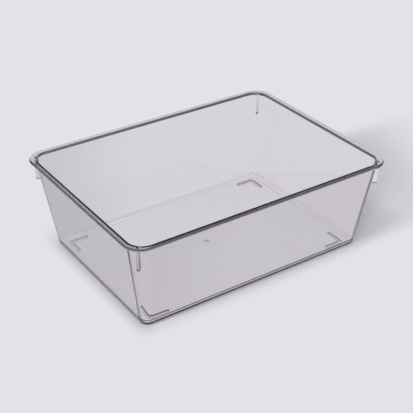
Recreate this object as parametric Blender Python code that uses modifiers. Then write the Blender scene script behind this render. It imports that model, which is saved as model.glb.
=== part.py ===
# Open-topped clear storage box: one moulded tub on four L-shaped foot pads.
# X runs along the length, Y across the width, Z up. The origin is on the table under the middle.
import bpy
import bmesh
from math import atan2, cos, pi, radians, sin, tan
from mathutils import Matrix, Vector

COLLECTION_NAME = "storage_box"
CUTTER_COLLECTION_NAME = "storage_box_cutters"

# Overall size and rim flange, in metres
RIM_LENGTH = 0.3010
RIM_WIDTH = 0.2206
OVERALL_HEIGHT = 0.1015
RIM_THICKNESS = 0.0030
RIM_OVERHANG_X = 0.0050
RIM_OVERHANG_Y = 0.0045
RIM_CORNER_RADIUS = 0.0197
RIM_NOSE_ROUND = 0.00145
RIM_MOUTH_ROUND = 0.0016
RIM_ROOT_DROP = 0.0005

# Walls and floor
WALL_THICKNESS = 0.0021
WALL_TAPER = 0.0003
WALL_LEAN_X = 0.0150
WALL_LEAN_Y = 0.0160
WALL_CORNER_RADIUS = 0.0179
BASE_CORNER_RADIUS = 0.0084
INNER_CORNER_TIGHTENING_TOP = 0.0010
INNER_CORNER_TIGHTENING_BASE = 0.0004
LEAST_CORNER_RADIUS = 0.0010
BASE_EDGE_ROUND = 0.0053
FLOOR_THICKNESS = 0.0025
FLOOR_FILLET = 0.0068

# Nesting-stop fins under the rim's corners
FIN_THICKNESS = 0.0026
FIN_DROP = 0.0225
FIN_SETBACK = 0.0045
FIN_TIP_ROUND = 0.0015

# Gate mark in the middle of the underside
GATE_DIAMETER = 0.0060
GATE_DEPTH = 0.0010
GATE_NUB_DIAMETER = 0.0018
GATE_NUB_HEIGHT = 0.0005

# Foot pads and their seats
FOOT_DROP = 0.0005
FOOT_SEAT_DEPTH = 0.0007
FOOT_GAP = 0.0003
FOOT_ARM_WIDTH = 0.0036
FOOT_ARM_REACH = 0.0186
FOOT_END_MARGIN = 0.0124
FOOT_SIDE_MARGIN = 0.0109
FOOT_EDGE_ROUND = 0.0002

CUT_OVERRUN = 0.0010
WELD_DISTANCE = 0.00001

# Facets of each kind of round
CORNER_SEGMENTS = 10
EDGE_SEGMENTS = 3
FILLET_SEGMENTS = 6
ARM_END_SEGMENTS = 10
GATE_SEGMENTS = 32
SMOOTH_ANGLE = radians(35)

# Heights that follow from the sizes above
UNDERSIDE_Z = FOOT_DROP
FLOOR_TOP_Z = UNDERSIDE_Z + FLOOR_THICKNESS
RIM_UNDER_Z = OVERALL_HEIGHT - RIM_THICKNESS
WALL_RISE = RIM_UNDER_Z - UNDERSIDE_Z
DRAFT_ANGLE = atan2((WALL_LEAN_X + WALL_LEAN_Y) / 2, WALL_RISE)
BASE_INSET_X = RIM_OVERHANG_X + WALL_LEAN_X
BASE_INSET_Y = RIM_OVERHANG_Y + WALL_LEAN_Y

# One entry for each corner: name, side along X, side along Y
CORNERS = (
    ("front_left", -1, -1),
    ("front_right", 1, -1),
    ("back_left", -1, 1),
    ("back_right", 1, 1),
)


def clear_scene():
    for old in list(bpy.data.objects):
        bpy.data.objects.remove(old, do_unlink=True)


def new_collection(name):
    collection = bpy.data.collections.new(name)
    bpy.context.scene.collection.children.link(collection)
    return collection


def clear_plastic(name, colour, roughness, alpha):
    material = bpy.data.materials.new(name)
    material.use_nodes = True
    shader = material.node_tree.nodes["Principled BSDF"]
    shader.inputs["Base Color"].default_value = colour
    shader.inputs["Roughness"].default_value = roughness
    shader.inputs["Metallic"].default_value = 0
    shader.inputs["Alpha"].default_value = alpha
    material.diffuse_color = (colour[0], colour[1], colour[2], alpha)
    return material


def smoky_plastic():
    return clear_plastic("smoky_clear_plastic", (0.62, 0.60, 0.66, 1), 0.08, 0.35)


def pad_plastic():
    return clear_plastic("pad_clear_plastic", (0.55, 0.50, 0.52, 1), 0.25, 0.45)


def object_from_bmesh(name, shape, collection):
    mesh = bpy.data.meshes.new(name)
    shape.to_mesh(mesh)
    shape.free()
    made = bpy.data.objects.new(name, mesh)
    collection.objects.link(made)
    return made


def face_outward(shape):
    # On a thin shell the recalculated normals can settle inwards, so the signed volume decides
    bmesh.ops.recalc_face_normals(shape, faces=shape.faces)
    if shape.calc_volume(signed=True) < 0:
        bmesh.ops.reverse_faces(shape, faces=shape.faces)


# The outer wall leans: its insets from the rim's outline grow downwards, and its corners tighten.
def share_below_rim(height):
    return (RIM_UNDER_Z - height) / WALL_RISE


# A section is its insets from the rim's outline along X and Y, its corner radius and its height.
def wall_section(height, depth=0, tightening=0):
    share = share_below_rim(height)
    inset_x = RIM_OVERHANG_X + WALL_LEAN_X * share + depth
    inset_y = RIM_OVERHANG_Y + WALL_LEAN_Y * share + depth
    corner = WALL_CORNER_RADIUS + (BASE_CORNER_RADIUS - WALL_CORNER_RADIUS) * share - depth - tightening
    return (inset_x, inset_y, corner, height)


def inner_section(height):
    # The wall thickens a little upwards, and its inside corners are a little tighter than concentric ones
    share = share_below_rim(height)
    depth = WALL_THICKNESS + WALL_TAPER * (1 - share)
    tightening = INNER_CORNER_TIGHTENING_TOP + (INNER_CORNER_TIGHTENING_BASE - INNER_CORNER_TIGHTENING_TOP) * share
    return wall_section(height, depth, tightening)


def drawn_in(section, inward, height):
    # The same section moved this far towards the middle, at another height
    inset_x, inset_y, corner, level = section
    return (inset_x + inward, inset_y + inward, max(corner - inward, LEAST_CORNER_RADIUS), height)


def fillet_at_wall_foot(foot, radius):
    # Sections of a fillet between a flat and the wall face that meets it at this section, flat side first
    reach = radius * tan((pi / 2 - DRAFT_ANGLE) / 2)
    sections = []
    for step in range(FILLET_SEGMENTS + 1):
        turn = (pi / 2 - DRAFT_ANGLE) * step / FILLET_SEGMENTS
        inward = reach - radius * sin(turn)
        sections.append(drawn_in(foot, inward, foot[-1] + radius * (1 - cos(turn))))
    return sections


def outer_edge_round(height, towards):
    # Quarter round at the flange's outer edge; towards is 1 for the lower edge and -1 for the upper
    sections = []
    for step in range(EDGE_SEGMENTS + 1):
        turn = pi / 2 * step / EDGE_SEGMENTS
        inset = RIM_NOSE_ROUND * (1 - sin(turn))
        rise = RIM_NOSE_ROUND * (1 - cos(turn))
        sections.append((inset, inset, RIM_CORNER_RADIUS - inset, height + towards * rise))
    return sections if towards > 0 else sections[::-1]


def inner_edge_round():
    # Quarter round where the flange's top turns down into the inside wall
    mouth = inner_section(OVERALL_HEIGHT)
    sections = []
    for step in range(EDGE_SEGMENTS + 1):
        turn = pi / 2 * step / EDGE_SEGMENTS
        outward = RIM_MOUTH_ROUND * (1 - sin(turn))
        drop = RIM_MOUTH_ROUND * (1 - cos(turn))
        sections.append(drawn_in(mouth, -outward, OVERALL_HEIGHT - drop))
    return sections


def tub_sections():
    sections = fillet_at_wall_foot(wall_section(UNDERSIDE_Z), BASE_EDGE_ROUND)
    sections.append(wall_section(RIM_UNDER_Z - RIM_ROOT_DROP))
    sections += outer_edge_round(RIM_UNDER_Z, 1)
    sections += outer_edge_round(OVERALL_HEIGHT, -1)
    sections += inner_edge_round()
    sections += fillet_at_wall_foot(inner_section(FLOOR_TOP_Z), FLOOR_FILLET)[::-1]
    return sections


def rounded_loop(shape, section, level):
    # A flat rectangle whose four corners are rounded, kept as a loop of edges
    inset_x, inset_y, corner, height = section
    made = bmesh.ops.create_grid(shape, x_segments=1, y_segments=1, size=0.5)
    size = (RIM_LENGTH - 2 * inset_x, RIM_WIDTH - 2 * inset_y, 1)
    bmesh.ops.scale(shape, vec=size, verts=made["verts"])
    bmesh.ops.translate(shape, vec=(0, 0, level), verts=made["verts"])
    rounded = bmesh.ops.bevel(
        shape, geom=made["verts"], offset=corner, offset_type="OFFSET", affect="VERTICES",
        segments=CORNER_SEGMENTS, profile=0.5, material=-1)
    face = rounded["verts"][0].link_faces[0]
    edges = list(face.edges)
    bmesh.ops.delete(shape, geom=[face], context="FACES_ONLY")
    return edges


def make_tub(collection, cutters):
    # Two rings on one level can be bridged the wrong way round, so each ring starts on a level of its own
    shape = bmesh.new()
    sections = tub_sections()
    loops = []
    for step, section in enumerate(sections):
        loops.append(rounded_loop(shape, section, step * WALL_THICKNESS))
    for outer, inner in zip(loops[:-1], loops[1:]):
        bmesh.ops.bridge_loops(shape, edges=outer + inner)
    bmesh.ops.contextual_create(shape, geom=loops[0])
    bmesh.ops.contextual_create(shape, geom=loops[-1])
    for section, edges in zip(sections, loops):
        for edge in edges:
            for vert in edge.verts:
                vert.co.z = section[-1]
    face_outward(shape)
    tub = object_from_bmesh("tub", shape, collection)
    for name, side_x, side_y in CORNERS:
        combine(tub, make_fin("fin_" + name, side_x, side_y, cutters), "UNION")
        combine(tub, make_seat("seat_" + name, side_x, side_y, cutters), "DIFFERENCE")
    combine(tub, make_gate_cut(cutters), "DIFFERENCE")
    tub.data.materials.append(smoky_plastic())
    tub.data.shade_smooth()
    tub.data.set_sharp_from_angle(angle=SMOOTH_ANGLE)
    return tub


def combine(body, tool, operation):
    modifier = body.modifiers.new(tool.name, "BOOLEAN")
    modifier.operation = operation
    modifier.solver = "EXACT"
    modifier.object = tool


def as_cutter(tool):
    tool.hide_render = True
    tool.display_type = "WIRE"
    return tool


def wall_distance(height, depth):
    # How far out, from the rim's corner centre and along the diagonal, a wall face lies at this height
    inset_x, inset_y, corner, level = wall_section(height, depth=depth)
    shift = RIM_CORNER_RADIUS - (inset_x + inset_y) / 2 - corner
    return shift * 2 ** 0.5 + corner


def make_fin(name, side_x, side_y, cutters):
    # An upright plate on the corner's diagonal: its back follows the leaning wall, its tip stands upright
    bottom = RIM_UNDER_Z - FIN_DROP
    top = RIM_UNDER_Z + RIM_THICKNESS / 2
    tip = RIM_CORNER_RADIUS - FIN_SETBACK
    shape = bmesh.new()
    bmesh.ops.create_cube(shape, size=1)
    for vert in shape.verts:
        height = top if vert.co.z > 0 else bottom
        across = FIN_THICKNESS * vert.co.y
        out = tip if vert.co.x > 0 else wall_distance(height, WALL_THICKNESS / 2)
        vert.co = Vector((out, across, height))
    middle = Vector(((wall_distance(top, WALL_THICKNESS / 2) + tip) / 2, 0, (bottom + top) / 2))
    low_tip = [edge for edge in shape.edges if all(v.co.x > middle.x and v.co.z < middle.z for v in edge.verts)]
    bmesh.ops.bevel(
        shape, geom=low_tip, offset=FIN_TIP_ROUND, offset_type="OFFSET", affect="EDGES",
        segments=FILLET_SEGMENTS, profile=0.5, material=-1)
    corner_x = side_x * (RIM_LENGTH / 2 - RIM_CORNER_RADIUS)
    corner_y = side_y * (RIM_WIDTH / 2 - RIM_CORNER_RADIUS)
    place = Matrix.Translation((corner_x, corner_y, 0)) @ Matrix.Rotation(atan2(side_y, side_x), 4, "Z")
    bmesh.ops.transform(shape, matrix=place, verts=shape.verts)
    face_outward(shape)
    return as_cutter(object_from_bmesh(name, shape, cutters))


def make_gate_cut(cutters):
    # A round recess with a small nub left standing in it
    shape = bmesh.new()
    depth = GATE_DEPTH + CUT_OVERRUN
    bmesh.ops.create_cone(
        shape, cap_ends=True, segments=GATE_SEGMENTS, radius1=GATE_DIAMETER / 2, radius2=GATE_DIAMETER / 2,
        depth=depth, matrix=Matrix.Translation((0, 0, UNDERSIDE_Z + GATE_DEPTH - depth / 2)))
    cut = as_cutter(object_from_bmesh("gate_cut", shape, cutters))
    nub_shape = bmesh.new()
    nub_height = GATE_NUB_HEIGHT + CUT_OVERRUN
    bmesh.ops.create_cone(
        nub_shape, cap_ends=True, segments=GATE_SEGMENTS, radius1=GATE_NUB_DIAMETER / 2,
        radius2=GATE_NUB_DIAMETER / 2, depth=nub_height,
        matrix=Matrix.Translation((0, 0, UNDERSIDE_Z + GATE_DEPTH - GATE_NUB_HEIGHT + nub_height / 2)))
    combine(cut, as_cutter(object_from_bmesh("gate_nub", nub_shape, cutters)), "DIFFERENCE")
    return cut


def foot_centre(side_x, side_y):
    x = RIM_LENGTH / 2 - BASE_INSET_X - FOOT_END_MARGIN
    y = RIM_WIDTH / 2 - BASE_INSET_Y - FOOT_SIDE_MARGIN
    return side_x * x, side_y * y


def arc(centre_x, centre_y, radius, start, end):
    points = []
    for step in range(ARM_END_SEGMENTS + 1):
        turn = start + (end - start) * step / ARM_END_SEGMENTS
        points.append((centre_x + radius * cos(turn), centre_y + radius * sin(turn)))
    return points


def foot_outline(side_x, side_y, grow):
    # An L whose arms run towards the middle of the floor, with round ends and a round outer corner
    half = FOOT_ARM_WIDTH / 2 + grow
    points = arc(0, 0, half, 0, pi / 2)
    points += arc(-FOOT_ARM_REACH, 0, half, pi / 2, 3 * pi / 2)
    points += [(-half, -half)]
    points += arc(0, -FOOT_ARM_REACH, half, pi, 2 * pi)
    x, y = foot_centre(side_x, side_y)
    return [(x + side_x * px, y + side_y * py) for px, py in points]


def plate_from_outline(name, outline, low, high, collection):
    curve = bpy.data.curves.new(name, "CURVE")
    curve.dimensions = "2D"
    curve.fill_mode = "BOTH"
    curve.extrude = (high - low) / 2
    spline = curve.splines.new("POLY")
    spline.points.add(len(outline) - 1)
    for point, (x, y) in zip(spline.points, outline):
        point.co = (x, y, 0, 1)
    spline.use_cyclic_u = True
    holder = bpy.data.objects.new(name + "_outline", curve)
    holder.location.z = (low + high) / 2
    collection.objects.link(holder)
    bpy.context.view_layer.update()
    graph = bpy.context.evaluated_depsgraph_get()
    mesh = bpy.data.meshes.new_from_object(holder.evaluated_get(graph))
    shape = bmesh.new()
    shape.from_mesh(mesh)
    bmesh.ops.transform(shape, matrix=holder.matrix_world, verts=shape.verts)
    bmesh.ops.remove_doubles(shape, verts=shape.verts, dist=WELD_DISTANCE)
    face_outward(shape)
    bpy.data.objects.remove(holder)
    bpy.data.meshes.remove(mesh)
    return object_from_bmesh(name, shape, collection)


def make_seat(name, side_x, side_y, cutters):
    outline = foot_outline(side_x, side_y, FOOT_GAP)
    low = UNDERSIDE_Z - CUT_OVERRUN
    return as_cutter(plate_from_outline(name, outline, low, UNDERSIDE_Z + FOOT_SEAT_DEPTH, cutters))


def make_foot(name, side_x, side_y, material, collection):
    high = UNDERSIDE_Z + FOOT_SEAT_DEPTH - FOOT_GAP
    foot = plate_from_outline(name, foot_outline(side_x, side_y, 0), 0, high, collection)
    rounding = foot.modifiers.new("edge_round", "BEVEL")
    rounding.width = FOOT_EDGE_ROUND
    rounding.segments = EDGE_SEGMENTS
    rounding.limit_method = "ANGLE"
    rounding.angle_limit = radians(60)
    foot.data.materials.append(material)
    foot.data.shade_smooth()
    foot.data.set_sharp_from_angle(angle=SMOOTH_ANGLE)
    return foot


def build():
    clear_scene()
    collection = new_collection(COLLECTION_NAME)
    cutters = new_collection(CUTTER_COLLECTION_NAME)
    make_tub(collection, cutters)
    material = pad_plastic()
    for name, side_x, side_y in CORNERS:
        make_foot("foot_" + name, side_x, side_y, material, collection)


build()
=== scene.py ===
import bpy
import bmesh
from math import atan2, cos, pi, radians, sin, sqrt, tan
from mathutils import Matrix, Vector


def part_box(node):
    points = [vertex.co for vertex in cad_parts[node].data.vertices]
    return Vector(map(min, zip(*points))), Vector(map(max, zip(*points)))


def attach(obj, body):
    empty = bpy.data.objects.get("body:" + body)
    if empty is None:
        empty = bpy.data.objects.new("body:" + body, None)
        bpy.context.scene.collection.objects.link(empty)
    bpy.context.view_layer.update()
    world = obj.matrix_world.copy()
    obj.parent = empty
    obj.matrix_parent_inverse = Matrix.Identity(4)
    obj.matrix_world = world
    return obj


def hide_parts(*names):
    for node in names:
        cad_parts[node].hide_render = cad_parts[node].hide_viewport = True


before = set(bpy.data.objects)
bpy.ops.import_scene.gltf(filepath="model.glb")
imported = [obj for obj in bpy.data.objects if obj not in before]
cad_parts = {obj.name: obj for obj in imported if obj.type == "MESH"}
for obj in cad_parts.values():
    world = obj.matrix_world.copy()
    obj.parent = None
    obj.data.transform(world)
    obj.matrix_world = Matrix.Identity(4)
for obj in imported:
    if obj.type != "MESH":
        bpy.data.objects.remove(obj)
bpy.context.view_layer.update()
print("CAD frame loaded with", len(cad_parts), "nodes")

# camera, set from the photograph's edges
cameraView = {
    "place": (-0.48604, -0.71152, 0.56025),
    "turn": (59.1109, -0.1065, -34.2902),  # degrees
    "lens": 84.204,
    "sensor": 36.0,
    "near": 0.05,
}
cameraData = bpy.data.cameras.new("camera")
cameraData.lens = cameraView["lens"]
cameraData.sensor_width = cameraView["sensor"]
cameraData.clip_start = cameraView["near"]
camera = bpy.data.objects.new("camera", cameraData)
camera.location = cameraView["place"]
camera.rotation_euler = [radians(angle) for angle in cameraView["turn"]]
bpy.context.scene.collection.objects.link(camera)
bpy.context.scene.camera = camera
bpy.context.scene.view_settings.view_transform = "Standard"
print("camera placed")

# sizes of the moulded tub, in metres; its inside corners are a little tighter than concentric ones
tubSizes = {
    "rimThickness": 0.0030,
    "overhangX": 0.0050,
    "overhangY": 0.0045,
    "rimCorner": 0.0197,
    "mouthRound": 0.0016,
    "noseRound": 0.00148,
    "rootDrop": 0.0005,
    "wall": 0.0021,
    "leanX": 0.0150,
    "leanY": 0.0160,
    "baseCorner": 0.0084,
    "leastCorner": 0.0010,
    "topCorner": 0.0179,
    "topTightening": 0.0010,
    "baseTightening": 0.0004,
    "taper": 0.0003,
    "baseRound": 0.0053,
    "floor": 0.0025,
    "floorFillet": 0.0068,
    "cornerSteps": 90,
    "roundSteps": 8,
    "filletSteps": 14,
    "sharpAngle": 35,  # degrees
    "flatWeight": 100,
}
tubLow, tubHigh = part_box("tub")
rimUnder = tubHigh.z - tubSizes["rimThickness"]
wallRise = rimUnder - tubLow.z
draft = atan2((tubSizes["leanX"] + tubSizes["leanY"]) / 2, wallRise)


def between(top, base, share):
    return top + (base - top) * share


def wallRing(height, depth):
    # insets from the rim's outline along X and Y, corner radius and height of a wall face this deep
    share = (rimUnder - height) / wallRise
    corner = between(tubSizes["topCorner"], tubSizes["baseCorner"], share)
    if depth > 0:
        # the wall thickens a little upwards
        depth += tubSizes["taper"] * (1 - share)
        corner -= depth + between(tubSizes["topTightening"], tubSizes["baseTightening"], share)
    insetX = tubSizes["overhangX"] + tubSizes["leanX"] * share + depth
    insetY = tubSizes["overhangY"] + tubSizes["leanY"] * share + depth
    return insetX, insetY, corner, height


def drawnIn(ring, inward, height):
    insetX, insetY, corner = ring[:3]
    return insetX + inward, insetY + inward, max(corner - inward, tubSizes["leastCorner"]), height


def footOfWall(height, depth, radius):
    reach = radius * tan((pi / 2 - draft) / 2)
    foot = wallRing(height, depth)
    rings = []
    for step in range(tubSizes["filletSteps"] + 1):
        turn = (pi / 2 - draft) * step / tubSizes["filletSteps"]
        rings.append(drawnIn(foot, reach - radius * sin(turn), height + radius * (1 - cos(turn))))
    return rings


def rimEdge(height, upwards):
    rings = []
    for step in range(tubSizes["roundSteps"] + 1):
        turn = pi / 2 * step / tubSizes["roundSteps"]
        inset = tubSizes["noseRound"] * (1 - sin(turn))
        rise = tubSizes["noseRound"] * (1 - cos(turn))
        rings.append((inset, inset, tubSizes["rimCorner"] - inset, height + upwards * rise))
    return rings if upwards > 0 else rings[::-1]


def mouthEdge():
    mouth = wallRing(tubHigh.z, tubSizes["wall"])
    rings = []
    for step in range(tubSizes["roundSteps"] + 1):
        turn = pi / 2 * step / tubSizes["roundSteps"]
        outward = tubSizes["mouthRound"] * (1 - sin(turn))
        rings.append(drawnIn(mouth, -outward, tubHigh.z - tubSizes["mouthRound"] * (1 - cos(turn))))
    return rings


def roundOff(shape, corners, radius, steps, affect="EDGES"):
    return bmesh.ops.bevel(shape, geom=corners, offset=radius, offset_type="OFFSET", affect=affect,
                           segments=steps, profile=0.5, material=-1)


def roundedRing(shape, ring, level):
    insetX, insetY, corner = ring[:3]
    made = bmesh.ops.create_grid(shape, x_segments=1, y_segments=1, size=0.5)
    size = (tubHigh.x - tubLow.x - 2 * insetX, tubHigh.y - tubLow.y - 2 * insetY, 1)
    bmesh.ops.scale(shape, vec=size, verts=made["verts"])
    bmesh.ops.translate(shape, vec=(0, 0, level), verts=made["verts"])
    rounded = roundOff(shape, made["verts"], corner, tubSizes["cornerSteps"], "VERTICES")
    face = rounded["verts"][0].link_faces[0]
    edges = list(face.edges)
    bmesh.ops.delete(shape, geom=[face], context="FACES_ONLY")
    return edges


def faceOutward(shape):
    bmesh.ops.recalc_face_normals(shape, faces=shape.faces)
    if shape.calc_volume(signed=True) < 0:
        bmesh.ops.reverse_faces(shape, faces=shape.faces)


def addPiece(name, shape):
    mesh = bpy.data.meshes.new(name)
    shape.to_mesh(mesh)
    shape.free()
    piece = bpy.data.objects.new(name, mesh)
    bpy.context.scene.collection.objects.link(piece)
    return piece


def combine(body, tool, operation):
    # the tool is joined or cut into the body's own mesh and then dropped
    change = body.modifiers.new(tool.name, "BOOLEAN")
    change.operation = operation
    change.solver = "EXACT"
    change.object = tool
    graph = bpy.context.evaluated_depsgraph_get()
    old = body.data
    body.data = bpy.data.meshes.new_from_object(body.evaluated_get(graph))
    body.modifiers.clear()
    body.data.name = old.name
    bpy.data.meshes.remove(old)
    bpy.data.objects.remove(tool)


def tubMesh():
    # up the outside, over the rim and down the inside; each ring starts on a level of its own
    rings = footOfWall(tubLow.z, 0, tubSizes["baseRound"])
    rings.append(wallRing(rimUnder - tubSizes["rootDrop"], 0))
    rings += rimEdge(rimUnder, 1)
    rings += rimEdge(tubHigh.z, -1)
    rings += mouthEdge()
    rings += footOfWall(tubLow.z + tubSizes["floor"], tubSizes["wall"], tubSizes["floorFillet"])[::-1]
    shape = bmesh.new()
    loops = []
    for step, ring in enumerate(rings):
        loops.append(roundedRing(shape, ring, step * tubSizes["wall"]))
    for outer, inner in zip(loops[:-1], loops[1:]):
        bmesh.ops.bridge_loops(shape, edges=outer + inner)
    bmesh.ops.contextual_create(shape, geom=loops[0])
    bmesh.ops.contextual_create(shape, geom=loops[-1])
    for ring, edges in zip(rings, loops):
        for edge in edges:
            for vert in edge.verts:
                vert.co.z = ring[-1]
    faceOutward(shape)
    return shape


tub = addPiece("tub_shell", tubMesh())
print("tub shell built")

# upright fins under the rim's corners
finSizes = {"thickness": 0.0026, "drop": 0.0225, "setback": 0.0045, "tipRound": 0.0015, "tipSteps": 6}


def wallDistance(height, depth):
    # from the middle of the rim's corner round, along the diagonal
    insetX, insetY, corner = wallRing(height, depth)[:3]
    shift = tubSizes["rimCorner"] - (insetX + insetY) / 2 - corner
    return shift * sqrt(2) + corner


def finMesh(sideX, sideY):
    bottom = rimUnder - finSizes["drop"]
    top = rimUnder + tubSizes["rimThickness"] / 2
    tip = tubSizes["rimCorner"] - finSizes["setback"]
    shape = bmesh.new()
    bmesh.ops.create_cube(shape, size=1)
    for vert in shape.verts:
        height = top if vert.co.z > 0 else bottom
        across = finSizes["thickness"] * vert.co.y
        out = tip if vert.co.x > 0 else wallDistance(height, tubSizes["wall"] / 2)
        vert.co = Vector((out, across, height))
    outer = wallDistance(top, 0)
    lowTip = [edge for edge in shape.edges if all(v.co.x > outer and v.co.z == bottom for v in edge.verts)]
    roundOff(shape, lowTip, finSizes["tipRound"], finSizes["tipSteps"])
    cornerX = sideX * (tubHigh.x - tubSizes["rimCorner"])
    cornerY = sideY * (tubHigh.y - tubSizes["rimCorner"])
    place = Matrix.Translation((cornerX, cornerY, 0)) @ Matrix.Rotation(atan2(sideY, sideX), 4, "Z")
    bmesh.ops.transform(shape, matrix=place, verts=shape.verts)
    faceOutward(shape)
    return shape


for sideX in (-1, 1):
    for sideY in (-1, 1):
        combine(tub, addPiece("fin", finMesh(sideX, sideY)), "UNION")
print("fins joined")

# round gate mark in the middle of the underside
gateSizes = {
    "width": 0.0060,
    "depth": 0.0010,
    "nub": 0.0018,
    "nubHeight": 0.0005,
    "clear": 0.0010,
    "segments": 48,
}


def disc(width, low, high):
    middle = Matrix.Translation((0, 0, (low + high) / 2))
    shape = bmesh.new()
    bmesh.ops.create_cone(shape, cap_ends=True, segments=gateSizes["segments"], radius1=width / 2,
                          radius2=width / 2, depth=high - low, matrix=middle)
    return shape


gateTop = tubLow.z + gateSizes["depth"]
gateLow = tubLow.z - gateSizes["clear"]
nubLow = gateTop - gateSizes["nubHeight"]
recess = addPiece("gate", disc(gateSizes["width"], gateLow, gateTop))
nub = addPiece("nub", disc(gateSizes["nub"], nubLow, gateTop + gateSizes["clear"]))
combine(recess, nub, "DIFFERENCE")
combine(tub, recess, "DIFFERENCE")
print("gate mark cut")

# L-shaped pads under the floor's corners, let into seats in it
padSizes = {
    "drop": 0.0005,
    "seatDepth": 0.0007,
    "gap": 0.0003,
    "armWidth": 0.0036,
    "armReach": 0.0186,
    "endMargin": 0.0124,
    "sideMargin": 0.0109,
    "cornerRound": 0.0035,
    "endRound": 0.0017,
    "cornerSteps": 12,
    "endSteps": 8,
    "flatAngle": 1,  # degrees
}
padPlaces = {"front_left": (-1, -1), "front_right": (1, -1), "back_left": (-1, 1), "back_right": (1, 1)}
# where the middle lines of a pad's two arms cross
padCorner = (tubHigh.x - tubSizes["overhangX"] - tubSizes["leanX"] - padSizes["endMargin"],
             tubHigh.y - tubSizes["overhangY"] - tubSizes["leanY"] - padSizes["sideMargin"])


def padMesh(sideX, sideY, low, high, margin):
    # an L: a grid of two by two faces less one, with round ends and a round outer corner
    half = padSizes["armWidth"] / 2 + margin
    reach = padSizes["armReach"] + half
    rows = {-1: -reach, 0: -half, 1: half}
    shape = bmesh.new()
    sole = bmesh.ops.create_grid(shape, x_segments=2, y_segments=2, size=1)
    for vert in sole["verts"]:
        vert.co.x = rows[round(vert.co.x)]
        vert.co.y = rows[round(vert.co.y)]
    inner = [face for face in shape.faces if all(v.co.x < 0 and v.co.y < 0 for v in face.verts)]
    bmesh.ops.delete(shape, geom=inner, context="FACES")
    flatAngle = radians(padSizes["flatAngle"])
    bmesh.ops.dissolve_limit(shape, angle_limit=flatAngle, verts=shape.verts, edges=shape.edges)
    raised = bmesh.ops.extrude_face_region(shape, geom=shape.faces)
    lifted = [item for item in raised["geom"] if isinstance(item, bmesh.types.BMVert)]
    bmesh.ops.translate(shape, vec=(0, 0, high - low), verts=lifted)
    faceOutward(shape)
    outer = []
    ends = []
    for edge in shape.edges:
        first, second = edge.verts
        if abs(first.co.z - second.co.z) > (high - low) / 2:
            if first.co.x > 0 and first.co.y > 0:
                outer.append(edge)
            elif min(first.co.x, first.co.y) < -2 * half:
                ends.append(edge)
    roundOff(shape, outer, padSizes["cornerRound"] + margin, padSizes["cornerSteps"])
    ends = [edge for edge in ends if edge.is_valid]
    roundOff(shape, ends, padSizes["endRound"] + margin, padSizes["endSteps"])
    place = (sideX * padCorner[0], sideY * padCorner[1], low)
    bmesh.ops.scale(shape, vec=(sideX, sideY, 1), verts=shape.verts)
    bmesh.ops.translate(shape, vec=place, verts=shape.verts)
    faceOutward(shape)
    return shape


seatTop = padSizes["drop"] + padSizes["seatDepth"]
for sideX, sideY in padPlaces.values():
    seat = padMesh(sideX, sideY, -padSizes["gap"], seatTop, padSizes["gap"])
    combine(tub, addPiece("seat", seat), "DIFFERENCE")
tub.data.shade_smooth()
tub.data.set_sharp_from_angle(angle=radians(tubSizes["sharpAngle"]))
# the flats keep their own normals right up to the rounds
flats = tub.modifiers.new("flat_normals", "WEIGHTED_NORMAL")
flats.mode = "FACE_AREA"
flats.weight = tubSizes["flatWeight"]
flats.keep_sharp = True
print("seats cut")


def feed(tree, value, socket):
    if isinstance(value, bpy.types.NodeSocket):
        tree.links.new(value, socket)
    else:
        socket.default_value = value


def mathNode(tree, operation, *values):
    node = tree.nodes.new("ShaderNodeMath")
    node.operation = operation
    for value, socket in zip(values, node.inputs):
        feed(tree, value, socket)
    return node.outputs[0]


def fold(tree, operation, first, *others):
    for other in others:
        first = mathNode(tree, operation, first, other)
    return first


def softStep(tree, value, low, high, bottom=0, top=1, kind="SMOOTHSTEP"):
    node = tree.nodes.new("ShaderNodeMapRange")
    node.interpolation_type = kind
    for value, socket in zip((value, low, high, bottom, top), node.inputs):
        feed(tree, value, socket)
    return node.outputs[0]


def blend(tree, factor, first, second):
    node = tree.nodes.new("ShaderNodeMix")
    node.data_type = "RGBA"
    feed(tree, factor, node.inputs["Factor"])
    feed(tree, first, node.inputs["A"])
    feed(tree, second, node.inputs["B"])
    return node.outputs["Result"]


def blendShaders(tree, factor, first, second):
    node = tree.nodes.new("ShaderNodeMixShader")
    for source, socket in zip((factor, first, second), node.inputs):
        tree.links.new(source, socket)
    return node.outputs[0]


def axes(tree, vector):
    node = tree.nodes.new("ShaderNodeSeparateXYZ")
    tree.links.new(vector, node.inputs[0])
    return node.outputs["X"], node.outputs["Y"], node.outputs["Z"]


def cloud(tree, place, scale, detail):
    node = tree.nodes.new("ShaderNodeTexNoise")
    node.inputs["Scale"].default_value = scale
    node.inputs["Detail"].default_value = detail
    tree.links.new(place, node.inputs["Vector"])
    return node.outputs["Fac"]


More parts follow.
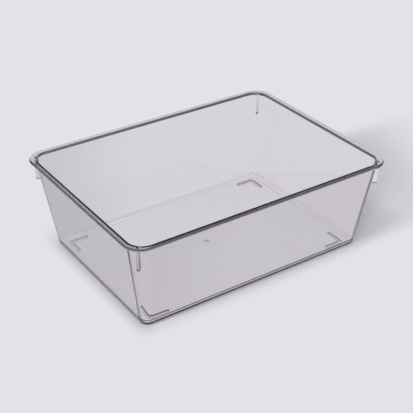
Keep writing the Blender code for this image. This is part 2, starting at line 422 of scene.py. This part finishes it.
# smoky clear plastic
plastic = {
    "index": 1.57,
    "absorption": (0.70, 0.66, 0.72, 1),
    "density": 150.0,
    # colour of the flats, with a faint flow mottle from mauve to green
    "mauve": (1.0, 0.984, 0.994, 1),
    "green": (0.982, 1.0, 0.990, 1),
    "mottle": (14.0, 1.0),  # scale and detail
    "mottleRange": (0.36, 0.64),
    # a flat looked at squarely mirrors the bright ceiling, and gets a painted shade, darker, to make up for
    # it
    "topShade": (0.76, 0.755, 0.775, 1),
    "topFacing": (0.02, 0.13),
    # colour of the walls where they are met squarely; where they are met at a slant they get a painted
    # shade, and edge on round a corner a painted dark line
    "wallTintAndShade": (1.0, 0.99, 0.98, 1),
    "slantShade": (0.70, 0.68, 0.69, 1),
    "slantFacing": (0.26, 0.78),
    "edgeShade": (0.015, 0.015, 0.02, 1),
    "edgeFacing": (0.55, 0.64),
    "cornerTurn": (0.10, 0.26),
    # a painted dark line on the round at the foot, placed by how far its normal is from level and by its
    # height
    "footStart": (0.30, 0.50),
    "footEnd": (0.985, 0.93),
    "footTop": (0.0075, 0.0050),
    "footFacing": (0.64, 0.76),
    # painted shade on the steep sides of the seats and of the gate mark
    "recessTilt": (0.5, 0.3),
    "recessTop": (0.0022, 0.0017),
    "recessShadeShare": 0.8,
    # painted shade: the walls darken towards the left end, by a share that changes from the back to the
    # front
    "leftShadeRamp": (-0.010, -0.150),
    "frontward": (0.060, -0.100),
    "leftShadeShare": (0.58, 0.42),
    # polish, and faint waves in it
    "roughness": (0.012, 0.030),
    "grain": (160.0, 3.0),
    "grainRange": (0.3, 0.7),
    "waves": (45.0, 0.0),
    "waveHeight": 0.00001,
    # what the rays that look for light keep when they meet a face squarely or graze it
    "squareTint": (0.553, 0.578, 0.566, 1),
    "grazingTint": (0.99, 0.99, 0.99, 1),
    "grazingFacing": (0.58, 0.76),
}


# colour of the faces, with painted shade on slants, squarely seen flats, edges, corners, recesses and the
# left end
def faceColourAndShade(tree, values, facing, place):
    normal = tree.nodes.new("ShaderNodeNewGeometry").outputs["True Normal"]
    normalX, normalY, normalZ = axes(tree, normal)
    alongX, alongY, alongZ = axes(tree, place)
    tilt = mathNode(tree, "ABSOLUTE", normalZ)
    turned = mathNode(tree, "ABSOLUTE", mathNode(tree, "MULTIPLY", normalX, normalY))

    # painted shade that darkens the walls towards the left end
    leftShadeShare = softStep(tree, alongY, *values["frontward"], *values["leftShadeShare"])
    leftEndShade = mathNode(tree, "MULTIPLY", softStep(tree, alongX, *values["leftShadeRamp"]), leftShadeShare)
    # painted shade on walls met at a slant
    slant = mathNode(tree, "ADD", softStep(tree, facing, *values["slantFacing"]), leftEndShade)
    wall = blend(tree, slant, values["wallTintAndShade"], values["slantShade"])
    mottle = softStep(tree, cloud(tree, place, *values["mottle"]), *values["mottleRange"])
    flat = blend(tree, mottle, values["mauve"], values["green"])
    # painted shade: flats looked at squarely are darkened
    flat = blend(tree, softStep(tree, facing, *values["topFacing"]), values["topShade"], flat)

    # painted dark lines: on the foot's round, on the recesses' steep sides and on corners seen edge on
    foot = fold(tree, "MULTIPLY", softStep(tree, alongZ, *values["footTop"]),
                softStep(tree, facing, *values["footFacing"]), softStep(tree, tilt, *values["footStart"]),
                softStep(tree, tilt, *values["footEnd"]))
    recess = mathNode(tree, "MULTIPLY", softStep(tree, alongZ, *values["recessTop"]),
                      softStep(tree, tilt, *values["recessTilt"], 0, values["recessShadeShare"]))
    corner = mathNode(tree, "MULTIPLY", softStep(tree, turned, *values["cornerTurn"]),
                      softStep(tree, facing, *values["edgeFacing"]))
    edgeShadeMask = fold(tree, "MAXIMUM", recess, corner, foot)
    return blend(tree, edgeShadeMask, blend(tree, tilt, wall, flat), values["edgeShade"])


def clearPlastic(name, values):
    material = bpy.data.materials.new(name)
    material.use_nodes = True
    tree = material.node_tree
    shader = tree.nodes["Principled BSDF"]
    shader.inputs["Transmission Weight"].default_value = 1
    shader.inputs["IOR"].default_value = values["index"]
    facing = tree.nodes.new("ShaderNodeLayerWeight").outputs["Facing"]
    place = tree.nodes.new("ShaderNodeTexCoord").outputs["Object"]
    feed(tree, faceColourAndShade(tree, values, facing, place), shader.inputs["Base Color"])
    grain = cloud(tree, place, *values["grain"])
    polish = softStep(tree, grain, *values["grainRange"], *values["roughness"])
    feed(tree, polish, shader.inputs["Roughness"])
    bump = tree.nodes.new("ShaderNodeBump")
    bump.inputs["Distance"].default_value = values["waveHeight"]
    feed(tree, cloud(tree, place, *values["waves"]), bump.inputs["Height"])
    feed(tree, bump.outputs[0], shader.inputs["Normal"])

    # the rays that look for light pass straight through
    path = tree.nodes.new("ShaderNodeLightPath").outputs
    lampRay = mathNode(tree, "MAXIMUM", path["Is Shadow Ray"], path["Is Diffuse Ray"])
    grazing = softStep(tree, facing, *values["grazingFacing"])
    clear = tree.nodes.new("ShaderNodeBsdfTransparent")
    feed(tree, blend(tree, grazing, values["squareTint"], values["grazingTint"]), clear.inputs["Color"])
    smoke = tree.nodes.new("ShaderNodeVolumeAbsorption")
    smoke.inputs["Color"].default_value = values["absorption"]
    smoke.inputs["Density"].default_value = values["density"]
    output = tree.nodes["Material Output"]
    feed(tree, blendShaders(tree, lampRay, shader.outputs[0], clear.outputs[0]), output.inputs["Surface"])
    feed(tree, smoke.outputs[0], output.inputs["Volume"])
    return material


tub.data.materials.append(clearPlastic("smoky_plastic", plastic))
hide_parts("tub")
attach(tub, "root")

# the pads are a denser smoky plastic, and their sides get a painted shade, dark
padLook = dict(plastic, absorption=(0.64, 0.46, 0.58, 1), density=430.0, roughness=(0.04, 0.09),
               grain=(400.0, 3.0), wallTintAndShade=(0.16, 0.13, 0.16, 1), slantShade=(0.16, 0.13, 0.16, 1))
# a thin painted shade line along the pads' edges towards +X and +Y, strong at the front left, faint at the
# back right
padShadeLine = {
    "tint": (0.05, 0.01, 0.04, 1),
    "width": 0.0007,
    "softness": 0.0004,
    "diagonal": (-0.187, 0.187),  # X and Y added up, at those two corners
    "share": (1.12, 0.42),
}


def fromBar(tree, along, across):
    # distance from the middle line of one arm
    before = mathNode(tree, "MULTIPLY", along, -1)
    beyond = mathNode(tree, "SUBTRACT", along, padSizes["armReach"])
    past = fold(tree, "MAXIMUM", before, beyond, 0)
    squares = [mathNode(tree, "MULTIPLY", length, length) for length in (past, across)]
    return mathNode(tree, "SQRT", mathNode(tree, "ADD", *squares))


def paintEdgeShade(material):
    tree = material.node_tree
    base = tree.nodes["Principled BSDF"].inputs["Base Color"]
    place = axes(tree, tree.nodes.new("ShaderNodeTexCoord").outputs["Object"])[:2]
    inward = []
    for corner, along in zip(padCorner, place):
        shifted = mathNode(tree, "ABSOLUTE", mathNode(tree, "ADD", along, padShadeLine["width"]))
        inward.append(mathNode(tree, "SUBTRACT", corner, shifted))
    away = mathNode(tree, "MINIMUM", fromBar(tree, *inward), fromBar(tree, *inward[::-1]))
    half = padSizes["armWidth"] / 2
    edge = softStep(tree, away, half - padShadeLine["softness"], half)
    share = softStep(tree, mathNode(tree, "ADD", *place), *padShadeLine["diagonal"], *padShadeLine["share"])
    line = mathNode(tree, "MULTIPLY", share, edge)
    # the painted shade line is blended into the pads' base colour
    feed(tree, blend(tree, line, base.links[0].from_socket, padShadeLine["tint"]), base)


padPlastic = clearPlastic("pad_plastic", padLook)
paintEdgeShade(padPlastic)
for name, (sideX, sideY) in padPlaces.items():
    pad = addPiece("pad_" + name, padMesh(sideX, sideY, 0, seatTop - padSizes["gap"], 0))
    pad.data.materials.append(padPlastic)
    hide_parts("foot_" + name)
    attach(pad, "root")
print("pads built")

# floor
floorLook = {
    "reach": 6.0,
    "colour": (0.768, 0.7605, 0.799, 1),
    # contact shade in front and on the left, and the places along X between which one becomes the other
    "contact": (0.84, 0.83, 0.87, 1),
    "leftContact": (0.58, 0.575, 0.61, 1),
    "contactTurn": (-0.116, -0.132),
    "contactReach": 0.016,
    "contactSamples": 16,
    "roughness": 0.9,
    # each zone's soft sides: axis, place fully outside, place fully inside
    "shadowZone": (("X", -0.145, -0.128), ("Y", -0.108, -0.087), ("Y", 0.128, 0.090)),
    "underZone": (("X", -0.134, -0.128), ("X", 0.134, 0.128), ("Y", -0.094, -0.088), ("Y", 0.094, 0.088)),
    # a painted glow: the paper under the box, seen through the plastic, is paler
    "underGlow": (0.857, 0.847, 0.885, 1),
}
shape = bmesh.new()
bmesh.ops.create_grid(shape, x_segments=1, y_segments=1, size=floorLook["reach"])
floor = addPiece("floor", shape)
paper = bpy.data.materials.new("floor_paper")
paper.use_nodes = True
paperTree = paper.node_tree
paperNodes = paperTree.nodes
paperPlace = axes(paperTree, paperNodes.new("ShaderNodeTexCoord").outputs["Object"])


def zoneMask(zone):
    # 1 well inside all the zone's soft sides, 0 outside
    sides = []
    for axis, outside, inside in zone:
        sides.append(softStep(paperTree, paperPlace["XYZ".index(axis)], outside, inside))
    return fold(paperTree, "MULTIPLY", *sides)


# a thin contact shade where the box nearly touches
contact = paperNodes.new("ShaderNodeAmbientOcclusion")
contact.samples = floorLook["contactSamples"]
contact.inputs["Distance"].default_value = floorLook["contactReach"]
paperShader = paperNodes["Principled BSDF"]
paperShader.inputs["Roughness"].default_value = floorLook["roughness"]
paperShader.inputs["Specular IOR Level"].default_value = 0
leftShadeRamp = softStep(paperTree, paperPlace[0], *floorLook["contactTurn"])
contactTone = blend(paperTree, leftShadeRamp, floorLook["contact"], floorLook["leftContact"])
shadedTone = blend(paperTree, contact.outputs["AO"], contactTone, floorLook["colour"])
feed(paperTree, shadedTone, paperShader.inputs["Base Color"])
# seen through the plastic the paper is evenly pale, with a painted glow a little paler under the box; the
# camera and the reflections see it evenly lit too, but for the zone round the box that the shadow falls in
paperPath = paperNodes.new("ShaderNodeLightPath").outputs
through = paperPath["Is Transmission Ray"]
beyond = mathNode(paperTree, "SUBTRACT", 1, zoneMask(floorLook["shadowZone"]))
direct = mathNode(paperTree, "MAXIMUM", paperPath["Is Camera Ray"], paperPath["Is Glossy Ray"])
evenly = mathNode(paperTree, "MAXIMUM", through, mathNode(paperTree, "MULTIPLY", direct, beyond))
underBox = zoneMask(floorLook["underZone"])
underGlowTone = blend(paperTree, underBox, floorLook["colour"], floorLook["underGlow"])
evenPaper = paperNodes.new("ShaderNodeEmission")
feed(paperTree, blend(paperTree, through, floorLook["colour"], underGlowTone), evenPaper.inputs["Color"])
paperMix = blendShaders(paperTree, evenly, paperShader.outputs[0], evenPaper.outputs[0])
feed(paperTree, paperMix, paperNodes["Material Output"].inputs["Surface"])
floor.data.materials.append(paper)
print("floor laid")

# light
lightPlan = {
    # each sun's azimuth and height in degrees and its share of the light
    "suns": ((180, 28, 0.085), (190, 34, 0.131), (200, 58, 0.140), (210, 22, 0.103), (220, 16, 0.101)),
    "sunAngle": 14.0,
    "ceiling": 1.69,
    "room": 0.16,
    "leftTone": (1.22, 0.94, 0.91, 1),
    "rightTone": (0.93, 0.93, 1.20, 1),
    "ceilingTone": (1, 1, 1, 1),
    "toneTurn": (-0.4, 0.4),
    # where the ceiling begins and where the backdrop ends, as sines of their heights
    "cone": (0.853, 0.954),
    "backdrop": (0.24, 0.20),
}
# a broad soft lamp on the left, as a fan of suns; only the shadow they throw is seen
for azimuth, height, part in lightPlan["suns"]:
    sun = bpy.data.lights.new("key", "SUN")
    sun.energy = pi * part / sin(radians(height))
    sun.angle = radians(lightPlan["sunAngle"])
    key = bpy.data.objects.new("key", sun)
    key.rotation_euler = (0, radians(90 - height), radians(azimuth))
    key.visible_glossy = False
    key.visible_transmission = False
    bpy.context.scene.collection.objects.link(key)
world = bpy.data.worlds.new("studio")
bpy.context.scene.world = world
world.use_nodes = True
skyTree = world.node_tree
sky = skyTree.nodes
skyAxes = axes(skyTree, sky.new("ShaderNodeTexCoord").outputs["Generated"])
skyX, skyZ = skyAxes[0], skyAxes[2]
# the room is a little warm on the left and cool on the right; the ceiling is neutral
roomTone = blend(skyTree, softStep(skyTree, skyX, *lightPlan["toneTurn"], kind="LINEAR"),
                 lightPlan["leftTone"], lightPlan["rightTone"])
skyTone = blend(skyTree, softStep(skyTree, skyZ, *lightPlan["cone"], kind="LINEAR"),
                roomTone, lightPlan["ceilingTone"])
skyStrength = softStep(skyTree, skyZ, *lightPlan["cone"], lightPlan["room"], lightPlan["ceiling"])
feed(skyTree, skyTone, sky["Background"].inputs["Color"])
feed(skyTree, skyStrength, sky["Background"].inputs["Strength"])
# the far backdrop rises a little above the floor's edge, as pale as the floor
sight = sky.new("ShaderNodeLightPath").outputs
rays = [sight[kind] for kind in ("Is Camera Ray", "Is Glossy Ray", "Is Transmission Ray")]
anySight = fold(skyTree, "MAXIMUM", *rays)
band = mathNode(skyTree, "MULTIPLY", anySight, softStep(skyTree, skyZ, *lightPlan["backdrop"]))
backdrop = sky.new("ShaderNodeBackground")
backdrop.inputs["Color"].default_value = floorLook["colour"]
skyMix = blendShaders(skyTree, band, sky["Background"].outputs[0], backdrop.outputs[0])
feed(skyTree, skyMix, sky["World Output"].inputs["Surface"])
print("lights set")
